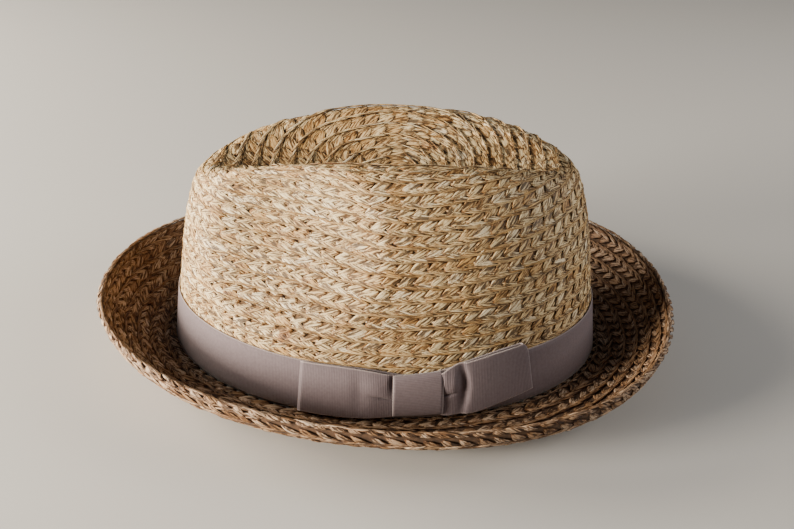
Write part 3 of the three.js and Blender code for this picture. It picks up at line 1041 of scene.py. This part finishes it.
surface = add_node(tree, "ShaderNodeBsdfPrincipled", {
    "Base Color": cloth_colour,
    "Roughness": 0.85,
    "Sheen Weight": 0.25,
    "Sheen Roughness": 0.4,
    "Normal": ribs.outputs["Normal"],
})
add_node(tree, "ShaderNodeOutputMaterial", {"Surface": surface.outputs["BSDF"]})


def band_row(turn):
    x = FOOT["length"] * math.cos(turn)
    dip = sum(depth * math.exp(-((x - place) / reach) ** 2) for place, reach, depth in BAND_DIPS)
    top = BAND_EDGES[1] - dip * max(0, -math.sin(turn))
    heights = np.linspace(BAND_EDGES[0], top, BAND_GRID["across"])
    return [beside_wall(turn, BAND_OUT, height) for height in heights]


band_rows = [band_row(turn) for turn in turns_around(BAND_GRID["around"])]
band = ribbon_object("ribbon_band_cloth", band_rows, closed=True)
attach(band, "root")
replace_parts(band, "ribbon_band")


# Bow: a flat bow on the wearer's left, two folded loops under a wrap of the same ribbon. The front loop
# lies flat; the back one rises in a soft roll beside the wrap, and its fold stands clear of the band.
BAND_FACE = BAND_OUT + RIBBON_THICKNESS / 2
LOOP_COLUMNS = 49
LOOP_STEP = 0.6
# A row this far out from the band's face is on the loop's front
FRONT_OUT = 2.2
# Columns: lengthwise place, out from the band's face, lower edge, upper edge
FRONT_LOOP = np.array([
    (14, 0.8, 4.5, 19.5),
    (2, 0.8, 2.4, 21),
    (-14, 0.8, 1.6, 22.8),
    (-30, 0.8, 1.2, 23),
    (-31.4, 1.1, 1.1, 23.2),
    (-32, 1.8, 1.1, 23.6),
    (-31.4, 2.5, 1.1, 24.4),
    (-30, 2.8, 1.1, 24.6),
    (-14, 3.2, 1.3, 24.8),
    (-2, 3.4, 1.8, 24),
    (5, 3.0, 2.4, 22.8),
    (9, 2.7, 2.7, 21.8),
    (14, 2.4, 4.5, 19.5),
])
BACK_LOOP = np.array([
    (26, 0.8, 4.5, 19.5),
    (38, 0.8, 3.4, 25),
    (54, 1, 5.4, 28.4),
    (67.6, 1.6, 7.2, 29.8),
    (69, 2.1, 7.5, 30),
    (69.5, 2.9, 7.6, 30),
    (69, 3.6, 7.7, 30.2),
    (67, 4.0, 7.6, 30.3),
    (54, 4.6, 5.6, 29.6),
    (46, 4.9, 3.9, 28.5),
    (40, 4.8, 3.2, 27.4),
    (36, 4.3, 3, 26.6),
    (31.5, 3.8, 3, 24.2),
    (26, 2.8, 4.5, 19.5),
])


def beside_band(x, out, height):
    """A point beside the band's outer face, at a lengthwise place on the bow's side."""
    return beside_wall(SIDE_TURN + math.asin(x / FOOT["length"]), BAND_FACE + out, height)


def smooth_rows(table):
    """A table's rows joined by a smooth curve, with a row for each step of the ribbon."""
    ends = np.vstack([2 * table[0] - table[1], table, 2 * table[-1] - table[-2]])
    rows = []
    for i in range(1, len(ends) - 2):
        before, start, stop, after = ends[i - 1:i + 3]
        count = max(2, int(np.hypot(*(stop - start)[:2]) / LOOP_STEP))
        for t in np.arange(count) / count:
            slope_in = (stop - before) / 2
            slope_out = (after - start) / 2
            rows.append(
                (2 * t**3 - 3 * t**2 + 1) * start + (t**3 - 2 * t**2 + t) * slope_in
                + (3 * t**2 - 2 * t**3) * stop + (t**3 - t**2) * slope_out
            )
    rows.append(ends[-2])
    return np.array(rows)


def loop_rows(table, relief, lean):
    """Rows of points across a loop; relief pushes its front out or in, lean moves points lengthwise."""
    rows = []
    for x, out, low, high in smooth_rows(table):
        row = []
        for share in np.linspace(0, 1, LOOP_COLUMNS):
            height = between(low, high, share)
            pushed = out + relief(x, height) * (out > FRONT_OUT)
            row.append(beside_band(x + lean(x, share), pushed, height))
        rows.append(row)
    return rows


def bump_at(x, height, middle_x, middle_height, reach_x, reach_height):
    """A smooth hill of height 1."""
    return math.exp(-((x - middle_x) / reach_x) ** 2 - ((height - middle_height) / reach_height) ** 2)


def front_relief(x, height):
    """A tuck runs from the middle of the loop to the wrap and deepens there, under a small swell."""
    tuck_height = 13.0 - 0.2 * (x + 2)
    above = height - tuck_height
    tuck = 0.5 * math.tanh(above / 0.5) * bump_at(x, above, 9, 0, 7.5, 3.5)
    tuck -= 1.5 * bump_at(x, above, 6, -0.4, 5, 0.6)
    swell = 0.6 * bump_at(x, above, 3, 4, 4.5, 4) - 0.6 * bump_at(x, height, -5, 14, 3, 9)
    dive = -1.5 * bump_at(x, height, 9.4, 18.5, 1.3, 5)
    return tuck + swell + dive


def front_lean(x, share):
    """The fold leans in a little toward its top."""
    return 1.1 * share * max(0, (-14 - x) / 18) ** 2


def back_relief(x, height):
    """The gathers beside the wrap: a curled corner, a dart, a hollow, and a valley round them."""
    level = (height - 15) / 12
    from_valley = x - 38.6 - 1.8 * (1 - level**2)
    reach = 3.3 if from_valley < 0 else 1.0
    valley = -2.4 * (1 - 0.6 * min(1, level**2)) * math.exp(-(from_valley / reach) ** 2)
    corner = 0.9 * bump_at(x, height, 31.2, 20, 1.5, 5) + 1.2 * bump_at(x, height, 34.6, 18.5, 2.6, 4.5)
    hollow = -0.5 * bump_at(x, height, 33, 7.5, 3, 4.5)
    dart = -1.3 * bump_at(x, height, 31, 12.4 + 0.15 * (x - 31), 4.2, 0.6)
    return valley + corner + hollow + dart


def back_lean(x, share):
    """The fold leans back toward its top, and its upper corner is rounded off."""
    return -(2.4 * share + 1.8 * share**14) * max(0, (x - 46) / 22) ** 2


front_loop = ribbon_object("bow_front_loop_cloth", loop_rows(FRONT_LOOP, front_relief, front_lean))
back_loop = ribbon_object("bow_back_loop_cloth", loop_rows(BACK_LOOP, back_relief, back_lean))


# The wrap: a short piece of the same ribbon, folded over both loops where they meet and tacked behind
# them, above and below
WRAP_SPAN = (9.4, 30.6)
WRAP_COLUMNS = 17
# Columns: out from the band's face, height
WRAP_PATH = np.array([
    (0.8, 3.6),
    (2.3, 3),
    (3.8, 3.8),
    (4.5, 6.5),
    (4.6, 12),
    (4.5, 18),
    (3.8, 20.8),
    (2.4, 21.3),
    (0.8, 20.6),
])
# It is drawn a little wider upward on the side of the back loop
WRAP_SKEW = 0.004
wrap = ribbon_object("bow_knot_cloth", [
    [
        beside_band(x, out, height * (1 + WRAP_SKEW * (x - WRAP_SPAN[0])))
        for x in np.linspace(*WRAP_SPAN, WRAP_COLUMNS)
    ]
    for out, height in smooth_rows(WRAP_PATH)
])
for piece, node, cut in (
    (front_loop, "bow_front_loop", 0.094),
    (back_loop, "bow_back_loop", 0.096),
    (wrap, "bow_knot", 0.027),
):
    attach(piece, "root")
    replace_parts(piece, node)


# Camera, light and floor: the view of the photograph, through a 50 mm lens a little over half a metre
# away that looks down from 29 degrees, with light from low windows before the wearer
FOCAL_PIXELS = 1103.0
PICTURE_WIDTH = 794.0
SENSOR_WIDTH = 36.0
CAMERA_DISTANCE = 565.0
ELEVATION = math.radians(29.0)
AZIMUTH = math.radians(3.64)
CAMERA_ROLL = math.radians(1.11)
TARGET = Vector((0.0, 0.0, FOOT["height"]))
TARGET_OFFSET = (-11.2, 59.26)

back = Vector((
    math.sin(AZIMUTH) * math.cos(ELEVATION),
    -math.cos(AZIMUTH) * math.cos(ELEVATION),
    math.sin(ELEVATION),
))
right = Vector((math.cos(AZIMUTH), math.sin(AZIMUTH), 0.0))
forward = -back
up = right.cross(forward)
yaw = math.atan2(TARGET_OFFSET[0], FOCAL_PIXELS)
pitch = math.atan2(TARGET_OFFSET[1], FOCAL_PIXELS)
right_turned = right * math.cos(yaw) + forward * math.sin(yaw)
forward_turned = forward * math.cos(yaw) - right * math.sin(yaw)
up_turned = up * math.cos(pitch) - forward_turned * math.sin(pitch)
view = up * math.sin(pitch) + forward_turned * math.cos(pitch)
camera_x = right_turned * math.cos(CAMERA_ROLL) + up_turned * math.sin(CAMERA_ROLL)
camera_y = up_turned * math.cos(CAMERA_ROLL) - right_turned * math.sin(CAMERA_ROLL)
camera_data = bpy.data.cameras.new("camera")
camera_data.sensor_width = SENSOR_WIDTH
camera_data.lens = FOCAL_PIXELS / PICTURE_WIDTH * SENSOR_WIDTH
camera = bpy.data.objects.new("camera", camera_data)
camera.matrix_world = Matrix.Translation((TARGET + back * CAMERA_DISTANCE) * MM) @ Matrix(
    (camera_x, camera_y, -view)
).transposed().to_4x4()
bpy.context.scene.collection.objects.link(camera)
bpy.context.scene.camera = camera

FLOOR_REACH = 3000.0
floor_corners = [(FLOOR_REACH * x, FLOOR_REACH * y, 0.0) for x, y in ((-1, -1), (1, -1), (1, 1), (-1, 1))]
floor = new_object("floor", floor_corners, [(0, 1, 2, 3)])
# Floor paint: matt, so that it takes soft shadows and shows no reflection
floor_paint, tree = new_material("pale floor paint")
surface = add_node(tree, "ShaderNodeBsdfPrincipled", {"Base Color": linear("#cdcdcb"), "Roughness": 0.8})
add_node(tree, "ShaderNodeOutputMaterial", {"Surface": surface.outputs["BSDF"]})
floor.data.materials.append(floor_paint)

world = bpy.data.worlds.new("studio")
world.use_nodes = True
world.node_tree.nodes["Background"].inputs["Color"].default_value = linear("#eceff5")
world.node_tree.nodes["Background"].inputs["Strength"].default_value = 0.11
bpy.context.scene.world = world


def soft_light(name, azimuth, elevation, size, watts, colour):
    """A soft box aimed at the hat, at a direction in degrees from +X and above the floor."""
    lamp = bpy.data.lights.new(name, "AREA")
    lamp.shape = "RECTANGLE"
    lamp.size, lamp.size_y = (length * MM for length in size)
    lamp.energy = watts
    lamp.color = linear(colour)[:3]
    box = bpy.data.objects.new(name, lamp)
    turn, rise = math.radians(azimuth), math.radians(elevation)
    direction = Vector((math.cos(turn) * math.cos(rise), math.sin(turn) * math.cos(rise), math.sin(rise)))
    box.location = (LIGHT_TARGET + direction * LIGHT_DISTANCE) * MM
    box.rotation_euler = (-direction).to_track_quat("-Z", "Y").to_euler()
    bpy.context.scene.collection.objects.link(box)


LIGHT_TARGET = Vector((0.0, 0.0, 50.0))
LIGHT_DISTANCE = 1200.0
soft_light("window", 170.0, 17.0, (900.0, 350.0), 28.0, "#fff1dd")
soft_light("second window", 213.0, 11.0, (450.0, 350.0), 36.0, "#fff2e0")
soft_light("fill", 5.0, 22.0, (700.0, 500.0), 7.5, "#fff8f0")

for helper in (LEAF, ROLL, STRIP, outer_skin, inner_skin):
    bpy.data.objects.remove(helper)
